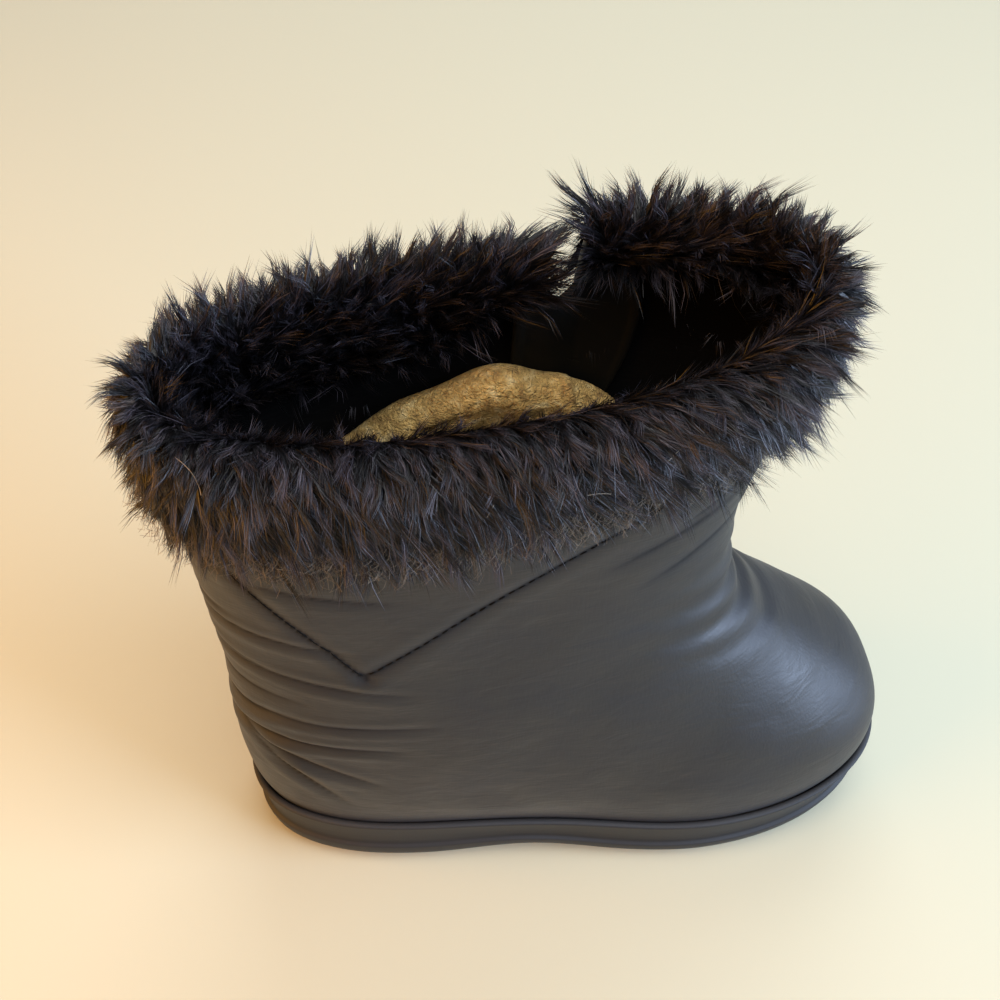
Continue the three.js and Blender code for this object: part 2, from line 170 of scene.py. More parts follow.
# The solids' origin is under the middle of their box, so the upper's corner gives the shift
coarse = wallPoint(
    np.arange(bootForm["solidColumns"])[None, :] / bootForm["solidColumns"],
    (np.arange(bootForm["solidRings"] + 1) * collar / bootForm["solidRings"])[:, None],
)
upperLow = np.array(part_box("upper")[0]) / mm
shift = np.array([upperLow[0] - coarse[..., 0].min(), upperLow[1] - coarse[..., 1].min(), 0.0])
print("boot: heel of the upper at", np.round(shift, 2), "mm")


# Meshes
def gridFaces(rows, columns, closeRows=False, closeColumns=False):
    i = np.arange(rows if closeRows else rows - 1)[:, None]
    j = np.arange(columns if closeColumns else columns - 1)[None, :]
    nextRow, nextColumn = (i + 1) % rows, (j + 1) % columns
    here, there = i * columns, nextRow * columns
    corners = [here + j, here + nextColumn, there + nextColumn, there + j]
    return np.stack(np.broadcast_arrays(*corners), -1).reshape(-1, 4)


def makePiece(name, points, faceSets, material, stands=(), marks=None):
    # points in mm of the boot's form; each face set is an array of triangles or quads
    mesh = bpy.data.meshes.new(name)
    placed = (points.reshape(-1, 3) + shift) * mm
    corners = np.concatenate([f.reshape(-1) for f in faceSets])
    counts = np.concatenate([np.full(len(f), f.shape[1]) for f in faceSets])
    mesh.vertices.add(len(placed))
    mesh.vertices.foreach_set("co", placed.astype(np.float32).ravel())
    mesh.loops.add(len(corners))
    mesh.loops.foreach_set("vertex_index", corners.astype(np.int32))
    mesh.polygons.add(len(counts))
    mesh.polygons.foreach_set("loop_start", (np.cumsum(counts) - counts).astype(np.int32))
    mesh.update(calc_edges=True)
    mesh.polygons.foreach_set("use_smooth", np.ones(len(counts), bool))
    for mark, values in (marks or {}).items():
        attribute = mesh.attributes.new(mark, "FLOAT", "POINT")
        attribute.data.foreach_set("value", values.astype(np.float32).ravel())
    mesh.materials.append(material)
    piece = bpy.data.objects.new(name, mesh)
    bpy.context.scene.collection.objects.link(piece)
    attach(piece, "root")
    if stands:
        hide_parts(*stands)
    print("boot:", name, int((counts - 2).sum()), "triangles")
    return piece


# Materials
def linear(hexCode):
    channels = np.array([int(hexCode[k:k + 2], 16) for k in (1, 3, 5)]) / 255
    return (*np.where(channels <= 0.04045, channels / 12.92, ((channels + 0.055) / 1.055) ** 2.4), 1.0)


def addNode(tree, kind, settings, links=None):
    node = tree.nodes.new(kind)
    for name, value in settings.items():
        if isinstance(name, str) and hasattr(node, name):
            setattr(node, name, value)
        else:
            node.inputs[name].default_value = value
    for name, source in (links or {}).items():
        tree.links.new(source, node.inputs[name])
    return node


def newMaterial(name, settings):
    material = bpy.data.materials.new(name)
    material.use_nodes = True
    tree = material.node_tree
    surface = tree.nodes["Principled BSDF"]
    for socket, value in settings.items():
        surface.inputs[socket].default_value = value
    return material, tree, surface


def shadeRamp(tree, source, stops):
    ramp = addNode(tree, "ShaderNodeValToRGB", {}, {"Fac": source})
    elements = ramp.color_ramp.elements
    elements[0].position, elements[0].color = stops[0][0], linear(stops[0][1])
    elements[1].position, elements[1].color = stops[-1][0], linear(stops[-1][1])
    for place, hexCode in stops[1:-1]:
        elements.new(place).color = linear(hexCode)
    return ramp.outputs["Color"]


def bumpOf(tree, surface, height, strength, distance, under=None):
    links = {"Height": height}
    if under:
        links["Normal"] = under
    bump = addNode(tree, "ShaderNodeBump", {"Strength": strength, "Distance": distance}, links)
    tree.links.new(bump.outputs["Normal"], surface.inputs["Normal"])
    return bump.outputs["Normal"]


def perMetre(sizeMm):
    return 1 / (sizeMm * mm)


# Black nylon taffeta with a thin polyurethane coat, woven: a broad soft gloss, and a fine crinkle
nylonLook = {"dark": "#030303", "body": "#0e0e10", "thread": 0.6, "crinkle": 5.0, "scuff": 14.0}
nylon, tree, surface = newMaterial("coatedNylonTaffeta", {"IOR": 1.53, "Sheen Weight": 0.03})
place = addNode(tree, "ShaderNodeTexCoord", {}).outputs["Object"]
foldShade = addNode(tree, "ShaderNodeAttribute", {"attribute_name": "foldShade"}).outputs["Fac"]
# the mark darkens the cloth towards the dark colour: painted shade in the seams and creases, and the full
# value on the inner face of the wall
colour = shadeRamp(tree, foldShade, [(0, nylonLook["body"]), (1, nylonLook["dark"])])
tree.links.new(colour, surface.inputs["Base Color"])
scuff = addNode(
    tree, "ShaderNodeTexNoise", {"Scale": perMetre(nylonLook["scuff"]), "Detail": 4.0}, {"Vector": place})
gloss = addNode(
    tree, "ShaderNodeMapRange", {"From Min": 0.3, "From Max": 0.7, "To Min": 0.48, "To Max": 0.62},
    {"Value": scuff.outputs["Fac"]})
matt = addNode(  # the inside and the bottom of a fold have no shine
    tree, "ShaderNodeMath", {"operation": "MULTIPLY_ADD", 1: 0.5}, {0: foldShade, 2: gloss.outputs["Result"]})
tree.links.new(matt.outputs["Value"], surface.inputs["Roughness"])
shine = addNode(tree, "ShaderNodeMapRange", {"To Min": 0.5, "To Max": 0.03}, {"Value": foldShade})
tree.links.new(shine.outputs["Result"], surface.inputs["Specular IOR Level"])
drawnOut = addNode(tree, "ShaderNodeMapping", {"Scale": (0.4, 0.4, 1)}, {"Vector": place})
crinkle = addNode(
    tree, "ShaderNodeTexNoise", {"Scale": perMetre(nylonLook["crinkle"]), "Detail": 3.0, "Distortion": 0.6},
    {"Vector": drawnOut.outputs["Vector"]})
soft = bumpOf(tree, surface, crinkle.outputs["Fac"], 0.4, 0.0007)
# threads are about 0.2 mm apart; drawn coarser, as slubs that run along and up the cloth, so that they show
weft = addNode(tree, "ShaderNodeMapping", {"Scale": (0.12, 0.12, 1)}, {"Vector": place})
warp = addNode(tree, "ShaderNodeMapping", {"Scale": (1, 1, 0.12)}, {"Vector": place})
for threads, strength in ((weft, 0.26), (warp, 0.24)):
    slub = addNode(
        tree, "ShaderNodeTexNoise", {"Scale": perMetre(nylonLook["thread"]), "Detail": 1.0},
        {"Vector": threads.outputs["Vector"]})
    soft = bumpOf(tree, surface, slub.outputs["Fac"], strength, 0.00015, soft)

# Dyed acrylic pile in locks: painted shade makes it deep black at the roots between the locks, and a painted
# grey-brown highlight runs along them to the tips
furLook = {"root": "#040304", "body": "#0b0a0d", "tip": "#4a444b"}
pile, tree, surface = newMaterial(
    "dyedAcrylicPile", {"IOR": 1.5, "Specular IOR Level": 0.36, "Roughness": 0.45})
toneAndPaintedLight = addNode(tree, "ShaderNodeAttribute", {"attribute_name": "toneAndPaintedLight"}).outputs["Fac"]
colour = shadeRamp(tree, toneAndPaintedLight, [(0, furLook["root"]), (0.5, furLook["body"]), (1, furLook["tip"])])
tree.links.new(colour, surface.inputs["Base Color"])

# The knitted backing under the pile: matt and nearly black, seen only between locks
backing, _, _ = newMaterial(
    "knittedFurBacking", {"Base Color": linear("#060506"), "Roughness": 0.95, "Specular IOR Level": 0.1})

# Needled wool felt, undyed tan: matt and fuzzy, with a mottled face
feltLook = {"low": "#a98550", "mid": "#dfb871", "high": "#fae0a4", "mottle": 2.6, "fibre": 0.9}
felt, tree, surface = newMaterial(
    "needledWoolFelt", {"Roughness": 0.95, "Specular IOR Level": 0.15, "Sheen Weight": 0.1})
surface.inputs["Sheen Tint"].default_value = linear("#e0d2b0")
place = addNode(tree, "ShaderNodeTexCoord", {}).outputs["Object"]
mottle = addNode(
    tree, "ShaderNodeTexNoise", {"Scale": perMetre(feltLook["mottle"]), "Detail": 5.0}, {"Vector": place})
stops = [(0.3, feltLook["low"]), (0.52, feltLook["mid"]), (0.75, feltLook["high"])]
tree.links.new(shadeRamp(tree, mottle.outputs["Fac"], stops), surface.inputs["Base Color"])
fibre = addNode(
    tree, "ShaderNodeTexNoise", {"Scale": perMetre(feltLook["fibre"]), "Detail": 4.0, "Distortion": 1.2},
    {"Vector": place})
bumpOf(tree, surface, fibre.outputs["Fac"], 1.0, 0.002)

# Black polyester twill: dull and smooth, with a slight olive cast
twillLook = {"body": "#080907", "rib": 0.7, "slant": 40}  # rib in mm to a radian of its wave
twill, tree, surface = newMaterial(
    "blackPolyesterTwill",
    {"Base Color": linear(twillLook["body"]), "Roughness": 0.7, "Specular IOR Level": 0.2})
place = addNode(tree, "ShaderNodeTexCoord", {}).outputs["Object"]
turned = addNode(
    tree, "ShaderNodeMapping", {"Rotation": (0, math.radians(twillLook["slant"]), 0)}, {"Vector": place})
rib = addNode(  # a wave texture has 20 radians to the unit
    tree, "ShaderNodeTexWave", {"Scale": perMetre(twillLook["rib"]) / 20, "Distortion": 0.3},
    {"Vector": turned.outputs["Vector"]})
bumpOf(tree, surface, rib.outputs["Fac"], 0.15, 0.0002)

# Thermoplastic rubber, injection moulded with a fine spark-eroded grain: dull black
rubberLook = {"body": "#161617", "grain": 0.8}
rubber, tree, surface = newMaterial(
    "mouldedRubber", {"Base Color": linear(rubberLook["body"]), "Roughness": 0.68, "IOR": 1.52})
place = addNode(tree, "ShaderNodeTexCoord", {}).outputs["Object"]
grain = addNode(
    tree, "ShaderNodeTexNoise", {"Scale": perMetre(rubberLook["grain"]), "Detail": 2.0}, {"Vector": place})
bumpOf(tree, surface, grain.outputs["Fac"], 0.2, 0.0002)

# Bonded polyester thread: dull black, darker than the cloth round it
thread, _, _ = newMaterial(
    "bondedThread", {"Base Color": linear("#050505"), "Roughness": 0.8, "Specular IOR Level": 0.12})
# Stray pale fibres caught in the pile
lintFibre, _, _ = newMaterial("lintFibre", {"Base Color": linear("#8d8478"), "Roughness": 0.7})
# Loose ends of the pile, worn to a dull grey-brown
frizzFibre, _, _ = newMaterial("wornFrizz", {"Base Color": linear("#5a4f42"), "Roughness": 0.7})
print("boot: materials ready")

# Upper: seams and creases placed on the inner side, in mm. Columns: fromX fromZ toX toZ depth width
upperFolds = {
    "columns": 280,
    "rows": 280,
    "innerRows": 12,
    "seams": np.array([
        [4, 134, 33, 94, 0.4, 0.9],  # rear arm of the V
        [103, 145.5, 33, 95, 0.4, 0.9],  # front arm
    ]),
    "creases": np.array([
        [-10, 134, 15, 125, 0.35, 0.7],
        [10, 125.5, 42, 119, 0.25, 0.8],
        [-9, 114, 8, 110.5, 0.3, 0.7],
        [-7, 109, 31, 102.5, 0.5, 0.7],
        [-9, 98, 13, 93.5, 0.35, 0.8],
        [-3, 95, 44, 87, 0.55, 0.7],
        [-9, 84.5, 20, 82.5, 0.35, 0.9],
        [-10, 71, 18, 76, 0.55, 0.9],
        [2, 74.5, 49, 75, 0.5, 0.7],
        [-10, 63, 14, 66, 0.75, 1.0],
        [0, 65, 40, 66, 0.7, 0.7],
        [-3, 66, 34, 48, 0.8, 0.9],
        [3, 63, 25, 36, 0.7, 0.9],
        [122, 142, 98, 129, 0.4, 1.0],
        [121, 123, 92, 111, 0.35, 1.2],
        [114, 134, 84, 119, 0.25, 1.4],
    ]),
    "outerCreases": np.array([
        [-6, 88, 30, 84, 0.7, 2.4],
        [-6, 70, 34, 66, 0.9, 2.4],
        [70, 92, 104, 82, 0.7, 3.0],
        [60, 78, 96, 70, 0.6, 3.0],
    ]),
    # folds across the instep. Columns: z depth width
    "frontFolds": np.array([[103, 0.6, 3.0], [93, 0.9, 2.8], [83.5, 1.0, 2.6], [75.5, 0.7, 2.4]]),
    "dent": {"x": 62, "z": 108, "reachX": 34, "reachZ": 26, "depth": 1.2},
}


def segmentGap(x, z, row):
    # distance from a place on the side of the boot to one fold's line, and how far along it that is
    ax, az, bx, bz = row[:4]
    long = (bx - ax) ** 2 + (bz - az) ** 2
    share = np.clip(((x - ax) * (bx - ax) + (z - az) * (bz - az)) / long, 0, 1)
    return np.hypot(x - ax - share * (bx - ax), z - az - share * (bz - az)), share


def troughs(x, z, rows, lip, fading):
    # each line is a fold at the bottom of a soft trough, with a ridge on either side, fading to its ends, and
    # a painted shade that darkens the trough
    relief, dark = np.zeros_like(x), np.zeros_like(x)
    for row in rows:
        gap, share = segmentGap(x, z, row)
        depth, width = row[4:6]
        fade = 1 - fading * (1 - np.sin(np.pi * np.clip(share, 0.01, 0.99)) ** 0.8)
        trough = 0.6 * np.exp(-gap / width) + 0.4 * np.exp(-((gap / (2.5 * width)) ** 2))
        relief += fade * depth * (lip * np.exp(-(((gap - 4 * width) / (2.2 * width)) ** 2)) - trough)
        dark = np.maximum(dark, fade * np.exp(-gap / (0.7 * width)))
    return relief, dark


def slackness(x, z):
    # slow waves of slack cloth
    return (0.35 * np.sin(x / 13 + z / 21 + 0.6) + 0.3 * np.sin(z / 9.5 - x / 34 + 1.9)
            + 0.16 * np.sin(x / 6.1 - z / 8.3 + 0.4) + 0.1 * np.sin(z / 3.7 + x / 10.3))


def wallRelief(points, turn):
    x, y, z = np.moveaxis(points, -1, 0)
    inner, outer = 1 - ease(y, -9, 4), ease(y, -4, 9)
    seamRelief, seamShade = troughs(x, z, upperFolds["seams"], 0.35, 0.0)
    creaseRelief, creaseShade = troughs(x, z, upperFolds["creases"], 0.55, 1.0)
    farRelief, farCreaseShade = troughs(x, z, upperFolds["outerCreases"], 0.55, 1.0)
    relief = inner * (seamRelief + creaseRelief) + outer * farRelief
    # painted shade along the seams and creases, weaker on the outer side
    dark = inner * np.maximum(seamShade, 0.7 * creaseShade) + 0.4 * outer * farCreaseShade
    front = hump(turn, 0.5, 0.19)
    for height, depth, width in upperFolds["frontFolds"]:
        bend = z - height - 5 * (1 - front)
        ridge = 0.6 * np.exp(-((bend - 2 * width) / width) ** 2)
        relief += front * depth * (ridge - np.exp(-(bend / width) ** 2))
    dent = upperFolds["dent"]
    hollow = np.exp(-((x - dent["x"]) / dent["reachX"]) ** 2 - ((z - dent["z"]) / dent["reachZ"]) ** 2)
    loose = ease(z, 28, 45) * (1 - 0.7 * ease(z, 140, 165))
    relief = (relief + slackness(x, z) * 0.7) * loose - dent["depth"] * hollow * inner
    return np.maximum(relief, -0.7 * bootForm["wall"]), dark * loose


def slitHalf(level):
    # half the slit's width as a share of the way round: none under its foot, then a straight opening
    drop = (collar - level) * bootForm["collarRow"]
    return 0.5 * bootForm["slitTop"] * np.clip(1 - drop / bootForm["slitDepth"], 0, 1) / bootForm["slitRound"]


def buildUpper():
    count = upperFolds["columns"]
    across = np.linspace(0, 1, count + 1)[None, :]
    # rows stand closest between the foot and the fur, where the folds are
    height = np.linspace(0, 1, upperFolds["rows"])
    outerLevels = np.interp(height, [0, 0.1, 0.92, 1], [0, 2.2, 8.1, collar])[:, None]
    innerLevels = np.linspace(collar, 0, upperFolds["innerRows"])[:, None]
    levels = np.concatenate([outerLevels, innerLevels])
    half = slitHalf(levels)
    turn = bootForm["slitTurn"] + half + (1 - 2 * half) * across
    level = np.broadcast_to(levels, turn.shape)
    points = wallPoint(turn, level)
    normal = np.where((level < 0.01)[..., None], levelNormal(turn, level), faceNormal(turn, level))
    relief, dark = wallRelief(points, turn - np.floor(turn))
    inside = np.arange(len(levels))[:, None] >= upperFolds["rows"]
    offset = np.where(inside, -bootForm["wall"], relief)
    points = points + normal * offset[..., None]
    rows, columns = turn.shape
    faces = gridFaces(rows, columns, closeRows=True)
    # the two cut edges of the slit get a face from the outer row to the inner row at the same height
    order = np.arange(rows * columns).reshape(rows, columns)
    slitRow = int(np.searchsorted(outerLevels[:, 0], collar - bootForm["slitDepth"] / bootForm["collarRow"]))
    outerEdge = np.arange(slitRow, upperFolds["rows"])
    innerEdge = upperFolds["rows"] + np.abs(innerLevels[:, 0][None, :] - outerLevels[outerEdge]).argmin(1)
    strips = []
    for column in (0, columns - 1):
        a, b = order[outerEdge, column], order[innerEdge, column]
        strip = np.stack([a[:-1], a[1:], b[1:], b[:-1]], -1)
        strips.append(strip if column else strip[:, ::-1])
    # the inner face of the wall takes the full mark, darkest and without shine; outside it, the painted shade
    # of the seams and creases
    marks = np.where(inside, 1.0, dark)
    packed = np.concatenate([points.reshape(-1, 3), marks.reshape(-1, 1)], 1)
    _, first, where = np.unique(np.round(packed[:, :3], 4), axis=0, return_index=True, return_inverse=True)
    where = where.reshape(-1)
    faceSets = [where[f] for f in (faces[:, ::-1], *strips)]
    return makePiece(
        "upperCloth", packed[first, :3], faceSets, nylon, ["upper"], {"foldShade": packed[first, 3]})


buildUpper()

# Stitches on the front arm of the V and along the rear arm, each a small capsule sunk half into the cloth
stitchRow = {
    "rear": {"pitch": 3.4, "length": 3.3, "reach": 0.97},
    "front": {"pitch": 2.5, "length": 1.7, "reach": 0.97},
    "radius": 0.27, "sides": 6, "rise": 0.02,
}


def placeOnInnerSide(x, z):
    # the place on the inner side with this x and z: turn from x, then level from z, over and over
    level = np.interp(z, [105, 134, 165], [7, 8, 9])
    turn = np.full_like(x, 0.75)
    for _ in range(6):
        c = sectionAt(level)
        along = np.clip((x - c[..., 0]) / (c[..., 2] - c[..., 0]), 0.003, 0.997)
        turn = 1 - np.arccos(1 - 2 * along) / (2 * np.pi)
        level = np.clip(level + (z - wallPoint(turn, level)[..., 2]) / 30, 0, collar)
    return turn, level


def stacked(faces, copies, stride):
    # the same faces for each copy of a small shape
    return (faces[None] + (np.arange(copies) * stride)[:, None, None]).reshape(-1, faces.shape[1])


def capsules(starts, ends, radius, sides):
    # a tube from start to end in six rings, narrowing to a point at both ends
    share = np.array([0, 0.06, 0.25, 0.75, 0.94, 1.0])
    girth = np.array([0.05, 0.7, 1, 1, 0.7, 0.05]) * radius
    way = unit(ends - starts)
    side = unit(np.cross(way, np.array([0.13, 0.7, 0.7])))
    third = np.cross(way, side)
    angle = np.arange(sides) * 2 * np.pi / sides
    cosine, sine = (v[None, None, :, None] for v in (np.cos(angle), np.sin(angle)))
    spoke = side[:, None, None] * cosine + third[:, None, None] * sine
    middle = starts[:, None] + (ends - starts)[:, None] * share[None, :, None]
    points = middle[:, :, None] + spoke * girth[None, :, None, None]
    quads = gridFaces(len(share), sides, closeColumns=True)
    return points.reshape(-1, 3), stacked(quads, len(starts), len(share) * sides)


def buildStitches():
    starts, ends = [], []
    for row, stitch in zip(upperFolds["seams"], (stitchRow["rear"], stitchRow["front"])):
        long = np.hypot(row[2] - row[0], row[3] - row[1])
        at = np.arange(1, long * stitch["reach"], stitch["pitch"])
        for store, extra in ((starts, 0), (ends, stitch["length"])):
            share = (at + extra) / long
            x, z = mix(row[0], row[2], share), mix(row[1], row[3], share)
            turn, level = placeOnInnerSide(x, z)
            spot = wallPoint(turn, level)
            relief, _ = wallRelief(spot, turn)
            store.append(spot + faceNormal(turn, level) * (relief + stitchRow["rise"])[..., None])
    starts, ends = np.concatenate(starts), np.concatenate(ends)
    points, quads = capsules(starts, ends, stitchRow["radius"], stitchRow["sides"])
    return makePiece("seamStitches", points, [quads], thread)


buildStitches()

# Fur: a section carried round the collar from slit to slit. Columns: out (from the upper's face) and up
# (over the collar's edge), from the outer hem over the crown to the inner hem.
furForm = {
    "section": np.array([
        [0.3, -26], [3.6, -28.5], [5.8, -22], [6.4, -12], [6.0, -1], [3.8, 5],
        [0.0, 7.4], [-4.2, 5.5], [-6.2, -2], [-6.4, -12], [-5.0, -19], [-2.7, -21.5],
    ]),
    "ends": 0.5 / 48,
    "hemFront": 0.7,
    "thinFront": 0.75,
    "shortInside": 0.34,
    "thinEnds": 0.5,
    "gussetMiddle": 0.355,
    "gussetReach": 0.075,
    "gussetFade": 0.06,
    "core": 0.66,  # the backing's share of the full thickness
}
inside = -bootForm["wall"] - bootForm["gap"]


def smoothSection(share, thickness=1.0):
    # the section at a share of its own length, thinned towards the wall
    rows = furForm["section"]
    steps = np.concatenate([[0], np.cumsum(np.hypot(*np.diff(rows, axis=0).T))])
    fine = np.linspace(0, steps[-1], 200)
    out, up = (np.interp(fine, steps, rows[:, k]) for k in (0, 1))
    kernel = np.hanning(19) / np.hanning(19).sum()
    out, up = (np.convolve(np.pad(v, 9, "edge"), kernel, "valid") for v in (out, up))
    at = np.asarray(share) * steps[-1]
    out, up = np.interp(at, fine, out), np.interp(at, fine, up)
    middle = -bootForm["wall"] / 2
    return middle + (out - middle) * thickness, np.where(up > 0, up * thickness, up)


def furShares(turn):
    # shares that are left of the outer hem's depth towards the front, and of the inner one beside the gusset
    along = (1 - np.cos(2 * np.pi * turn)) / 2
    apart = np.abs((turn - furForm["gussetMiddle"] + 0.5) % 1 - 0.5)
    reach = furForm["gussetReach"]
    hem = mix(1, furForm["hemFront"], ease(along, 0.3, 1))
    short = mix(furForm["shortInside"], 1, ease(apart, reach, reach + furForm["gussetFade"]))
    return along, hem, short


def furPoint(turn, share, thickness=1.0):
    # the section set beside the collar, thinner outside at the front and inside at both tight ends
    out, up = smoothSection(share, thickness)
    turn, out, up = np.broadcast_arrays(turn, out, up)
    along, hem, short = furShares(turn)
    depth = mix(furForm["thinEnds"], 1, ease(np.abs(np.sin(2 * np.pi * turn)), 0.1, 0.75))
    thin = np.where(out > 0, mix(1, furForm["thinFront"], ease(along, 0.55, 1)), 1)
    within = ease(-out, -0.5, 2.5)  # 0 on the outside, 1 on the inside
    drop = np.where(up < 0, up * mix(hem, short, within), up)
    return besideCollar(turn, np.where(out < inside, inside + (out - inside) * depth, out * thin), drop)


def furFrame(turn, share):
    # point, way out of the fur, way along the section to the inner hem and way round the collar
    point = furPoint(turn, share, furForm["core"])
    around = furPoint(turn + 0.003, share, furForm["core"]) - furPoint(turn - 0.003, share, furForm["core"])
    along = furPoint(turn, share + 0.02, furForm["core"]) - furPoint(turn, share - 0.02, furForm["core"])
    return point, unit(np.cross(along, around)), unit(along), unit(around)


def turnByLength(share):
    # a share of the collar's length, from slit to slit, as a turn
    fine = bootForm["slitTurn"] + np.linspace(furForm["ends"], 1 - furForm["ends"], 600)
    ring = wallPoint(fine, np.full_like(fine, collar))
    steps = np.concatenate([[0], np.cumsum(np.linalg.norm(np.diff(ring, axis=0), axis=1))])
    return np.interp(share, steps / steps[-1], fine), steps[-1]


def buildBacking():
    shares = np.linspace(0, 1, 30)[None, :]
    turns, _ = turnByLength(np.linspace(0.004, 0.996, 220))
    face = furPoint(turns[:, None], shares, furForm["core"])
    # closed along the wall: back up the inner side of the collar's room and down its outer face
    ups = np.concatenate([np.linspace(-20, 0.3, 5), np.linspace(0.3, -25, 5)])
    outs = np.concatenate([np.full(5, inside), np.full(5, bootForm["gap"])])
    _, hem, short = furShares(turns[:, None])
    drop = np.where(ups < 0, ups * np.where(outs < 0, short, hem), ups)
    room = besideCollar(turns[:, None], np.broadcast_to(outs, drop.shape), drop)
    points = np.concatenate([face, room], 1)
    rows, columns = points.shape[:2]
    faces = gridFaces(rows, columns, closeColumns=True)
    middles = points[[0, -1]].mean(1)
    order = np.arange(rows * columns).reshape(rows, columns)
    fans = []
    for row, hub in ((0, rows * columns), (rows - 1, rows * columns + 1)):
        edge, after = order[row], np.roll(order[row], -1)
        fan = np.stack([np.full(columns, hub), after, edge], -1)
        fans.append(fan if row else fan[:, ::-1])
    every = np.concatenate([points.reshape(-1, 3), middles])
    faceSets = [f[:, ::-1] for f in (faces, *fans)]
    return makePiece("furBacking", every, faceSets, backing, ["fur_cuff"])


buildBacking()

# Locks of pile. Each zone has its part of the ring (from slit to slit) and share of the section, its number
# of hairs, their length and how far they stand up; hairs gather towards the tip of the lock they grow in.
pileZones = {
    "furOuterHeel": {
        "ring": (0.36, 1.0), "share": (0.06, 0.44), "hairs": 39000, "length": 8.5, "stand": 0.28},
    "furOuterToe": {
        "ring": (0.0, 0.36), "share": (0.06, 0.44), "hairs": 24000, "length": 8.0, "stand": 0.28},
    "furCrown": {
        "ring": (0.0, 1.0), "share": (0.44, 0.62), "hairs": 38000, "length": 6.6, "stand": 0.55},
    "furInner": {
        "ring": (0.0, 1.0), "share": (0.62, 0.98), "hairs": 36000, "length": 8.0, "stand": 0.5},
}
pileForm = {
    "lock": 1.9,  # mm from lock to lock
    "steps": 4,
    "hairWidth": 0.2,
    "gather": 0.95,  # share of the way that a hair is drawn to its lock's tip
    "droop": 0.12,
    "curl": 0.22,
    "wave": 0.5,
    "toeLean": 0.6,  # towards the toe, on the inner side
    "farLean": 0.28,  # the same on the outer side
    "nearStand": 0.6,
    "slitLean": 1.1,  # over the gap at the slit
    "bulgeTurn": 0.6,
    "bulge": 0.15,
    "overCrest": 0.8,  # outwards over the crest of the inner side
    "endShort": 0.72,  # share of the length that is left at the heel and front
    "sectionLength": 78.0,
    "firstSeed": 40,
}


def waver(turn, share, seed):
    # a slow change of lean along the collar, so that locks part and cross
    return (np.sin(turn * 37 + share * 9 + seed) + 0.7 * np.sin(turn * 83 - share * 21 + 2 * seed)
            + 0.5 * np.sin(turn * 151 + share * 33 + 3 * seed)) / 2.2


def lockGuides(ring, share, zone, random):
    # a lock's middle line: it leaves the backing by its stand and lean, then bends down by its weight
    # and curls sideways; beside the slit it leans over the gap, and on the inner side it lies lower
    turn, ringLength = turnByLength(ring)
    point, out, along, around = furFrame(turn, share)
    fromSlit = np.minimum(ring, 1 - ring) * ringLength
    towards = np.where(ring < 0.5, -1.0, 1.0) * np.exp(-fromSlit / 5) * pileForm["slitLean"]
    side = np.sin(2 * np.pi * turn)
    lean = np.where(side > 0, pileForm["farLean"], pileForm["toeLean"])
    toeward = lean * side * mix(0.8, 1.6, ease((1 - np.cos(2 * np.pi * turn)) / 2, 0.3, 0.9))
    sway = 0.3 * waver(turn, share, 1.3) + 0.22 * random.standard_normal(turn.shape) + towards + toeward
    near = ease(-side, 0.1, 0.8) * ease(share, 0.4, 0.55)
    stand = zone["stand"] * (1 + 0.35 * random.standard_normal(turn.shape))
    stand = stand * mix(1, pileForm["nearStand"], near)
    over = pileForm["overCrest"] * ease(-side, 0.1, 0.8) * hump(share, 0.58, 0.22)
    outward = levelNormal(turn, np.full_like(turn, collar))
    way = unit(out * stand[:, None] - along * 0.85 + around * sway[:, None] + outward * over[:, None])
    length = zone["length"] * np.clip(1 + 0.22 * random.standard_normal(turn.shape), 0.5, 1.4)
    length = length * mix(0.8, 1, ease(share, 0.05, 0.2)) * mix(1, 0.6, near * ease(share, 0.6, 0.75))
    length = length * (1 + pileForm["bulge"] * hump(turn, pileForm["bulgeTurn"], 0.13))
    length = length * mix(pileForm["endShort"], 1, ease(np.abs(side), 0.15, 0.7))
    t = np.linspace(0, 1, pileForm["steps"])[None, :, None]
    sideways = around * (pileForm["curl"] * random.standard_normal(turn.shape))[:, None]
    lift = out * (0.16 * random.standard_normal(turn.shape))[:, None]
    bend = sideways + lift - np.array([0, 0, pileForm["droop"]])
    crimp = np.sin(2 * np.pi * (1.1 * t + random.uniform(0, 1, (len(turn), 1, 1)))) * t * pileForm["wave"]
    path = way[:, None] * t + bend[:, None] * t**2
    return point[:, None] + length[:, None, None] * path + around[:, None] * crimp


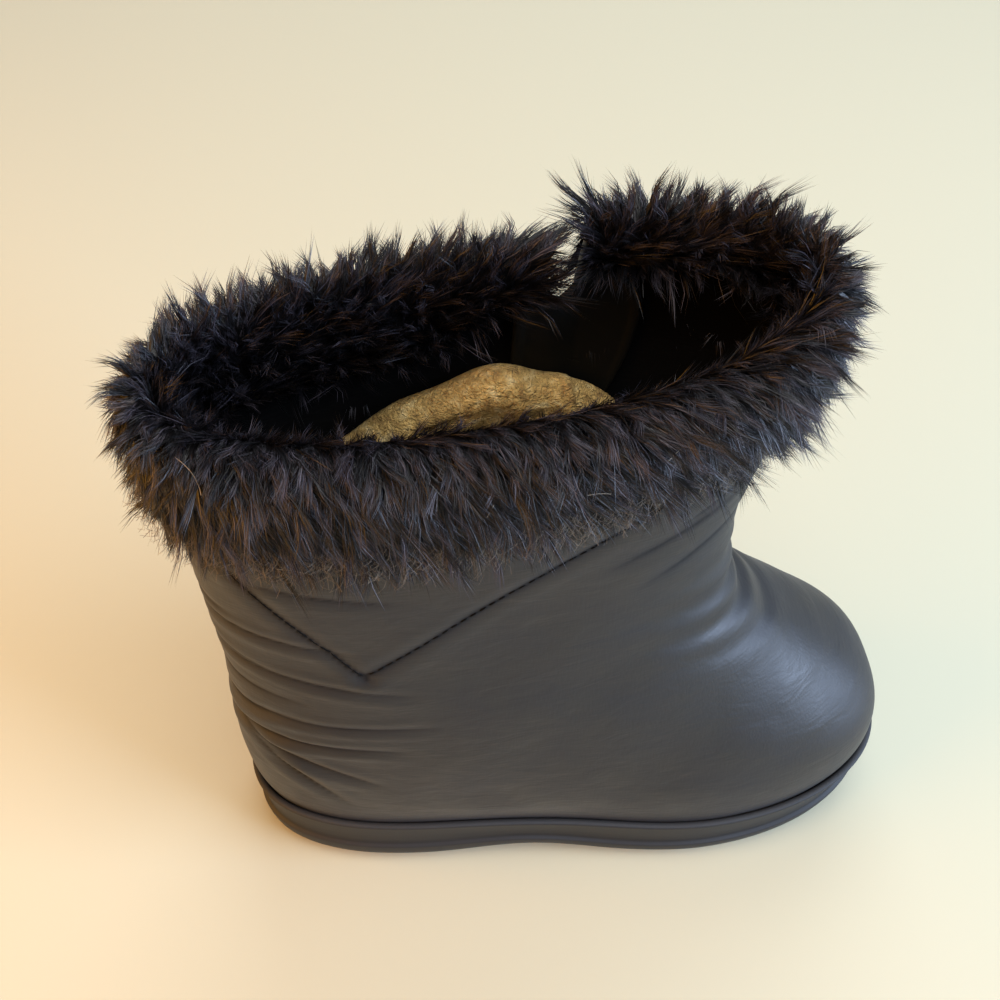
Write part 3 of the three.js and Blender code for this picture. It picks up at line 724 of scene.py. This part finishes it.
def growPile(name, zone, seed):
    random = np.random.default_rng(seed)
    _, ringLength = turnByLength(0.5)
    sectionLength = pileForm["sectionLength"]
    count = zone["hairs"]
    ring = random.uniform(*zone["ring"], count)
    share = random.uniform(*zone["share"], count)
    # locks stand in a brick pattern, each a jittered cell of the backing
    cell = pileForm["lock"]
    rowIndex = np.floor(share * sectionLength / cell)
    columnIndex = np.floor(ring * ringLength / cell + 0.5 * (rowIndex % 2))
    cells, lock = np.unique(np.stack([rowIndex, columnIndex], 1), axis=0, return_inverse=True)
    lock = lock.reshape(-1)
    jitter = random.uniform(-0.4, 0.4, cells.shape)
    lockShare = np.clip((cells[:, 0] + 0.5 + jitter[:, 0]) * cell / sectionLength, 0.01, 0.99)
    lockColumn = cells[:, 1] + 0.5 - 0.5 * (cells[:, 0] % 2) + jitter[:, 1]
    lockRing = np.clip(lockColumn * cell / ringLength, 0.003, 0.997)
    guides = lockGuides(lockRing, lockShare, zone, random)
    roots, hairOut, _, _ = furFrame(turnByLength(np.clip(ring, 0.003, 0.997))[0], share)
    steps = pileForm["steps"] - 1
    t = np.linspace(0, 1, steps + 1)[None, :, None]
    gather = np.clip(pileForm["gather"] + 0.12 * random.standard_normal((count, 1, 1)), 0.3, 1.0)
    reach = np.clip(1 + 0.18 * random.standard_normal((count, 1, 1)), 0.5, 1.3)
    start = guides[lock][:, :1]
    stray = random.standard_normal((count, 1, 3)) * 0.6
    spread = (roots[:, None] - start) * (1 - gather * t**0.8)
    lines = start + (guides[lock] - start) * reach + spread + stray * t**1.5
    way = unit(np.gradient(lines, axis=1))
    facing = unit(hairOut[:, None] + 0.45 * random.standard_normal((count, 1, 3)))
    across = unit(np.cross(way, facing))
    width = pileForm["hairWidth"] * random.uniform(0.7, 1.25, (count, 1, 1))
    taper = np.linspace(1.0, 0.55, steps)[None, :, None]
    left = lines[:, :-1] + across[:, :-1] * width * taper / 2
    right = lines[:, :-1] - across[:, :-1] * width * taper / 2
    points = np.concatenate([left, right, lines[:, -1:]], 1)
    quads = np.array([[k, steps + k, steps + k + 1, k + 1] for k in range(steps - 1)])
    tips = np.array([[steps - 1, 2 * steps - 1, 2 * steps]])
    stride = 2 * steps + 1
    # each lock has a random tone; most hairs stay black, and a few in each lock are pale enough to draw it,
    # as painted highlights
    hairToneAndGlint = random.uniform(-0.32, 0.24, len(cells))[lock] + 0.55 * random.uniform(0, 1, count) ** 5
    # each hair darkens towards its root as painted shade between the locks and lightens towards its tip as a
    # painted highlight
    toneAndPaintedLight = np.linspace(0.1, 0.5, steps)[None, :] + hairToneAndGlint[:, None]
    tipToneAndHighlight = 0.5 + hairToneAndGlint[:, None]
    tones = np.clip(np.concatenate([toneAndPaintedLight, toneAndPaintedLight, tipToneAndHighlight], 1), 0, 1)
    faces = [stacked(quads, count, stride), stacked(tips, count, stride)]
    return makePiece(name, points, faces, pile, ["fur_cuff"], {"toneAndPaintedLight": tones})


for index, (name, zone) in enumerate(pileZones.items()):
    growPile(name, zone, pileForm["firstSeed"] + index)

# Felt lining: a soft tube inside the wall, with a thick raw edge that rises to a hump beside the slit
liningForm = {
    "thickness": 3.4,
    "drop": 46.0,  # of its edge under the collar
    "hump": 20.5,
    "humpTurn": 12.6 / 48,
    "humpReach": 0.13,
    "bulge": 6.0,
    "foot": 0.32,  # level of its lower end
    "clear": 0.35,  # from the wall
    "columns": 180,
    "rows": 40,
}


def buildLining():
    turn = np.arange(liningForm["columns"])[None, :] / liningForm["columns"]
    apart = np.abs((turn - liningForm["humpTurn"] + 0.5) % 1 - 0.5)
    wave = 1.2 * np.sin(turn * 2 * np.pi * 5 + 0.5) + 0.7 * np.sin(turn * 2 * np.pi * 17 + 1.2)
    drop = liningForm["drop"] - liningForm["hump"] * hump(apart, 0, liningForm["humpReach"]) + wave
    top = collar - drop / bootForm["collarRow"]
    climb = np.linspace(0, 1, liningForm["rows"])[:, None]
    climb = climb * (2 - climb)
    # up the wall side, over the raw edge in a half round, and down the inside
    edge = np.linspace(0, 1, 7)[1:-1, None]
    rise = np.concatenate([climb, np.ones_like(edge), climb[::-1]])
    depth = np.concatenate([np.zeros_like(climb), (1 - np.cos(np.pi * edge)) / 2, np.ones_like(climb)])
    crown = np.concatenate([np.zeros_like(climb), np.sin(np.pi * edge), np.zeros_like(climb)])
    level = liningForm["foot"] + (top - liningForm["foot"]) * rise
    turns = np.broadcast_to(turn, level.shape)
    spot = wallPoint(turns, level, 0.0)
    x, _, z = np.moveaxis(spot, -1, 0)
    # slow swells, then matted lumps
    soft = 0.5 * np.sin(x / 7 + z / 9) + 0.4 * np.sin(z / 5 - x / 15 + 1) + 0.25 * np.sin(x / 3.1 + z / 4.3)
    soft += 0.35 * np.sin(x / 1.5 + 2 * np.sin(z / 2.3)) + 0.3 * np.sin(z / 1.4 + 2 * np.sin(x / 2.6))
    bulge = liningForm["bulge"] * hump(apart, 0, liningForm["humpReach"]) * ease(rise, 0.2, 0.5)
    thickness = liningForm["thickness"] + bulge + soft * ease(rise, 0.1, 0.5)
    offset = bootForm["wall"] + liningForm["clear"] + depth * thickness
    spot = spot - faceNormal(turns, level) * offset[..., None]
    spot[..., 2] += crown * 0.55 * thickness
    rows, columns = level.shape
    return makePiece("feltLining", spot, [gridFaces(rows, columns, True, True)[:, ::-1]], felt)


buildLining()

# Gusset: a thin twill panel behind the slit with a turned hem; its front edge swells to a belly
gussetForm = {
    "rear": 1.2 / 48, "frontTop": 0.7 / 48, "frontReach": 2.2 / 48, "frontFoot": 1.0 / 48,
    "top": 9.0, "belly": 19.0, "bottom": 58.0, "thickness": 0.8, "slack": 0.6, "hem": 2.0,
}


def gussetFront(drop):
    # the front edge: a quarter oval down to the belly, then a slow draw in to the foot
    form = gussetForm
    above = np.clip((form["belly"] - drop) / (form["belly"] - form["top"]), 0, 1)
    upperEdge = mix(form["frontTop"], form["frontReach"], np.sqrt(1 - above**2))
    lowerEdge = mix(form["frontReach"], form["frontFoot"], ease(drop, form["belly"], form["bottom"]))
    return np.where(above > 0, upperEdge, lowerEdge)


def buildGusset():
    across, down = np.linspace(0, 1, 60)[None, :], np.linspace(0, 1, 90)[:, None]
    drop = mix(gussetForm["top"], gussetForm["bottom"], down**1.5)
    first = bootForm["slitTurn"] - gussetForm["rear"]
    turn = mix(first, bootForm["slitTurn"] + gussetFront(drop), across)
    level = np.broadcast_to(collar - drop / bootForm["collarRow"], turn.shape)
    spot, normal = wallPoint(turn, level), faceNormal(turn, level)
    edge = np.minimum(np.minimum(across, 1 - across) * 25, drop - gussetForm["top"])
    hem = 0.4 * (1 - ease(edge, gussetForm["hem"] * 0.8, gussetForm["hem"] * 1.2)) * ease(edge, 0, 0.5)
    near = spot - normal * (bootForm["wall"] + gussetForm["slack"])
    far = spot - normal * (bootForm["wall"] + gussetForm["slack"] + gussetForm["thickness"] + hem)[..., None]
    points = np.concatenate([near, far[:, ::-1]], 1)
    rows, columns = points.shape[:2]
    tube = gridFaces(rows, columns, closeColumns=True)
    half = columns // 2
    order = np.arange(rows * columns).reshape(rows, columns)
    caps = []
    for row in (0, rows - 1):
        a, b = order[row, :half], order[row, half:][::-1]
        cap = np.stack([a[:-1], a[1:], b[1:], b[:-1]], -1)
        caps.append(cap if row else cap[:, ::-1])
    return makePiece("gussetCloth", points, [tube, *caps], twill, ["gusset"])


buildGusset()

# Sole: the solids' own side profile with rounded edges, and the tread bars underneath.
# Columns of side: out (from the feather line) and share (of the height from underside to footbed)
soleForm = {
    "side": np.array([
        [0.2, 0.0], [1.2, 0.02], [2.0, 0.07], [2.5, 0.16], [2.8, 0.3], [3.0, 0.46],
        [2.95, 0.49], [2.75, 0.51], [2.2, 0.53], [2.0, 0.56], [2.05, 0.7], [2.25, 0.95],
    ]),
    # the rim over the foot of the upper. Columns: drop (in levels) and out
    "lip": ((0.09, 2.25), (0.03, 2.15), (0.0, 1.8), (0.0, 0.7), (0.02, 0.35)),
    "lipLevel": 0.72,
    "columns": 240,
    "bars": np.array([16, 30, 44, 92, 106, 120, 134, 148]),
    "barLength": 8.5,
    "centreGap": 5.0,
    "edgeInset": 2.5,
    "sweep": 4.0,
    "sink": 1.5,
}


def crossStrips(first, count):
    # closes a ring that starts at the heel by strips from side to side
    j = np.arange(1, count // 2)
    quads = np.stack([first + j, first + count - j, first + (count - j + 1) % count, first + j - 1], -1)
    toe = first + count // 2
    return quads[1:], np.concatenate([quads[:1, [0, 1, 3]], [[toe, toe + 1, toe - 1]]])


def buildSole():
    turn = np.arange(soleForm["columns"]) / soleForm["columns"]
    feather, way = wallPoint(turn, np.zeros_like(turn)), levelNormal(turn, np.zeros_like(turn))
    rings = []
    for out, share in soleForm["side"]:
        ring = feather + way * out
        ring[:, 2] = mix(underAt(feather[:, 0]), footbedAt(feather[:, 0]), share)
        rings.append(ring)
    lip = np.full_like(turn, soleForm["lipLevel"])
    for drop, out in soleForm["lip"]:
        rings.append(wallPoint(turn, lip - drop) + levelNormal(turn, lip) * out)
    bed = feather + way * bootForm["gap"]
    bed[:, 2] -= bootForm["gap"]
    points = np.stack(rings + [bed])
    count = soleForm["columns"]
    faces = gridFaces(len(points), count, closeColumns=True)
    topQuads, topTris = crossStrips((len(points) - 1) * count, count)
    lowQuads, lowTris = crossStrips(0, count)
    barPoints, barFaces = treadBars()
    barFaces = [f + points.shape[0] * count for f in barFaces]
    every = np.concatenate([points.reshape(-1, 3), barPoints])
    faceSets = [faces, topQuads, topTris, lowQuads[:, ::-1], lowTris[:, ::-1], *barFaces]
    return makePiece("soleRubber", every, faceSets, rubber, ["sole"])


def underHalf(x, side):
    # half the sole's width at a length, on one side
    first = bootForm["sections"][0]
    along = np.clip((x - first[0]) / (first[2] - first[0]), 0.01, 0.99)
    turn = np.arccos(1 - 2 * along) / (2 * np.pi)
    return np.abs(wallPoint(np.where(side > 0, turn, 1 - turn), np.zeros_like(along))[..., 1])


def treadBars():
    # each bar is a slanted block with its lower edges eased: three rings of four corners
    x, side = (v.reshape(-1) for v in np.meshgrid(soleForm["bars"].astype(float), [1.0, -1.0], indexing="ij"))
    half, inner = soleForm["barLength"] / 2, soleForm["centreGap"] / 2
    back = x - half - soleForm["sweep"]
    room = np.minimum(underHalf(back, side), underHalf(back + 2 * half, side)) - soleForm["edgeInset"]
    floor = underAt(x) - bootForm["lugDepth"] - bootForm["archRise"] * hump(x, 68, 26)
    top = underAt(x) + soleForm["sink"]
    outline = np.stack([
        np.stack([x - half, side * inner], -1), np.stack([x + half, side * inner], -1),
        np.stack([back + 2 * half, side * room], -1), np.stack([back, side * room], -1),
    ], 1)
    middle = outline.mean(1, keepdims=True)
    rings = []
    for height, inset in ((top, 1.0), (floor + 0.5, 1.0), (floor + 0.12, 0.97), (floor, 0.92)):
        flat = middle + (outline - middle) * inset
        heights = np.broadcast_to(height[:, None, None], flat.shape[:2] + (1,))
        rings.append(np.concatenate([flat, heights], -1))
    points = np.stack(rings, 1)
    quads = np.concatenate([gridFaces(4, 4, closeColumns=True), [[0, 1, 2, 3]], [[15, 14, 13, 12]]])
    sides = [quads[:, ::-1], quads]
    faces = np.concatenate([sides[int(s > 0)] + k * 16 for k, s in enumerate(side)])
    return points.reshape(-1, 3), [faces]


buildSole()

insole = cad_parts["insole"]
insole.data.materials.clear()
insole.data.materials.append(felt)

# Stray pale fibres caught on the pile. Columns: ring (share of the collar from the slit), share (of the
# section), slant in degrees, length in mm, bend
lintForm = {
    "fibres": np.array([
        [0.63, 0.47, 55, 8.0, 0.07],
        [0.38, 0.27, 20, 5.0, 0.05],
        [0.45, 0.30, 110, 3.5, 0.02],
        [0.50, 0.08, 80, 3.0, 0.05],
        [0.33, 0.38, 140, 7.0, -0.05],
        [0.58, 0.12, 15, 6.0, 0.04],
    ]),
    "width": 0.13, "steps": 9, "rise": 3.2,
}


def ribbons(lines, across):
    # flat strips along lines of points
    count, steps = lines.shape[:2]
    quads = np.array([[k, steps + k, steps + k + 1, k + 1] for k in range(steps - 1)])
    return np.concatenate([lines + across, lines - across], 1), stacked(quads, count, 2 * steps)


def buildLint():
    ring, share, slant, length, bend = lintForm["fibres"].T
    point, out, along, around = furFrame(turnByLength(ring)[0], share)
    slant = np.radians(slant)[:, None]
    t = np.linspace(-0.5, 0.5, lintForm["steps"])[None, :, None] * length[:, None, None]
    way = np.cos(slant) * around + np.sin(slant) * along
    aside = np.sin(slant) * around - np.cos(slant) * along
    middle = point + out * lintForm["rise"]
    lines = middle[:, None] + way[:, None] * t + (aside * bend[:, None])[:, None] * t**2
    points, quads = ribbons(lines, unit(np.cross(way, out))[:, None] * lintForm["width"] / 2)
    return makePiece("lintFibres", points, [quads], lintFibre)


buildLint()

# Frizz: loose curled fibres that hang from the outer hem over the nylon
frizzForm = {"count": 1500, "length": 7.0, "width": 0.08, "steps": 7, "curl": 1.2, "rise": 2.2, "seed": 11}


def buildFrizz():
    random = np.random.default_rng(frizzForm["seed"])
    count, steps = frizzForm["count"], frizzForm["steps"]
    turns = turnByLength(random.uniform(0.02, 0.98, count))[0]
    point, out, along, around = furFrame(turns, random.uniform(0.11, 0.19, count))
    t = np.linspace(0, 1, steps)[None, :, None]
    length = frizzForm["length"] * random.uniform(0.4, 1.3, (count, 1, 1))
    way = unit(out * 0.25 - along * 0.8 + around * random.normal(0, 0.7, (count, 1)))
    beat, start = random.uniform(0.8, 2.2, (count, 1, 1)), random.uniform(0, 6.3, (count, 1, 1))
    phase = 6.3 * beat * t + start
    coil = around[:, None] * np.sin(phase) + out[:, None] * 0.6 * np.cos(phase)
    root = point + out * frizzForm["rise"]
    lines = root[:, None] + way[:, None] * t * length + coil * t * frizzForm["curl"]
    points, quads = ribbons(lines, unit(np.cross(way, out))[:, None] * frizzForm["width"] / 2)
    return makePiece("hemFrizz", points, [quads], frizzFibre)


buildFrizz()

# Floor, light and camera
studio = {"floor": "#b0ac93", "floorReach": 4, "sky": "#eef1f5", "skyStrength": 0.24}
floorMesh = bpy.data.meshes.new("floor")
reach = studio["floorReach"]
floorCorners = [(-reach, -reach, 0), (reach, -reach, 0), (reach, reach, 0), (-reach, reach, 0)]
floorMesh.from_pydata(floorCorners, [], [(0, 1, 2, 3)])
floorMaterial, _, _ = newMaterial(
    "paleFloor", {"Base Color": linear(studio["floor"]), "Roughness": 0.85})
floorMesh.materials.append(floorMaterial)
floor = bpy.data.objects.new("floor", floorMesh)
bpy.context.scene.collection.objects.link(floor)
world = bpy.data.worlds.new("studio")
world.use_nodes = True
world.node_tree.nodes["Background"].inputs["Color"].default_value = linear(studio["sky"])
world.node_tree.nodes["Background"].inputs["Strength"].default_value = studio["skyStrength"]
bpy.context.scene.world = world
bpy.context.scene.view_settings.view_transform = "Standard"

# Columns: name, place in m, aim in m, side in m, watts, colour
lamps = [
    ("backWindow", (0.2, 0.6, 0.8), (0.0, 0.0, 0.1), 0.7, 6.5, "#eaf1ff"),
    ("topSoft", (0.05, -0.2, 1.0), (0.0, 0.0, 0.15), 0.5, 7.0, "#f8f8f6"),
    ("coolSide", (0.78, -0.4, 0.42), (0.03, 0.0, 0.08), 0.55, 22.0, "#c6dcff"),
    ("warmSide", (-0.55, -0.08, 0.26), (-0.2, 0.0, 0.0), 0.45, 5.0, "#ffac1e"),
]


def aim(thing, place, target):
    thing.location = place
    thing.rotation_euler = (Vector(target) - Vector(place)).to_track_quat("-Z", "Y").to_euler()


for name, place, target, side, watts, hexCode in lamps:
    light = bpy.data.lights.new(name, "AREA")
    light.size, light.energy, light.color = side, watts, linear(hexCode)[:3]
    lamp = bpy.data.objects.new(name, light)
    bpy.context.scene.collection.objects.link(lamp)
    aim(lamp, place, target)

# The camera stands where the photograph's did, over the inner side of the boot, and is turned to centre it
view = {
    "collarMiddle": 58.75,  # from the heel
    "fromCollar": (-18.0, -165.0),
    "height": 349.0,
    "yaw": 8.5,
    "pitch": 53.6,
    "lens": 48.6,
}
eye = Vector((
    (view["collarMiddle"] + view["fromCollar"][0] + shift[0]) * mm,
    (view["fromCollar"][1] + shift[1]) * mm,
    view["height"] * mm,
))
yaw, pitch = math.radians(view["yaw"]), math.radians(view["pitch"])
gaze = Vector((math.sin(yaw) * math.cos(pitch), math.cos(yaw) * math.cos(pitch), -math.sin(pitch)))
camera = bpy.data.objects.new("camera", bpy.data.cameras.new("camera"))
camera.data.lens, camera.data.sensor_width = view["lens"], 36
camera.data.clip_start = 0.01
bpy.context.scene.collection.objects.link(camera)
aim(camera, eye, eye + gaze)
bpy.context.scene.camera = camera

print("boot: done")
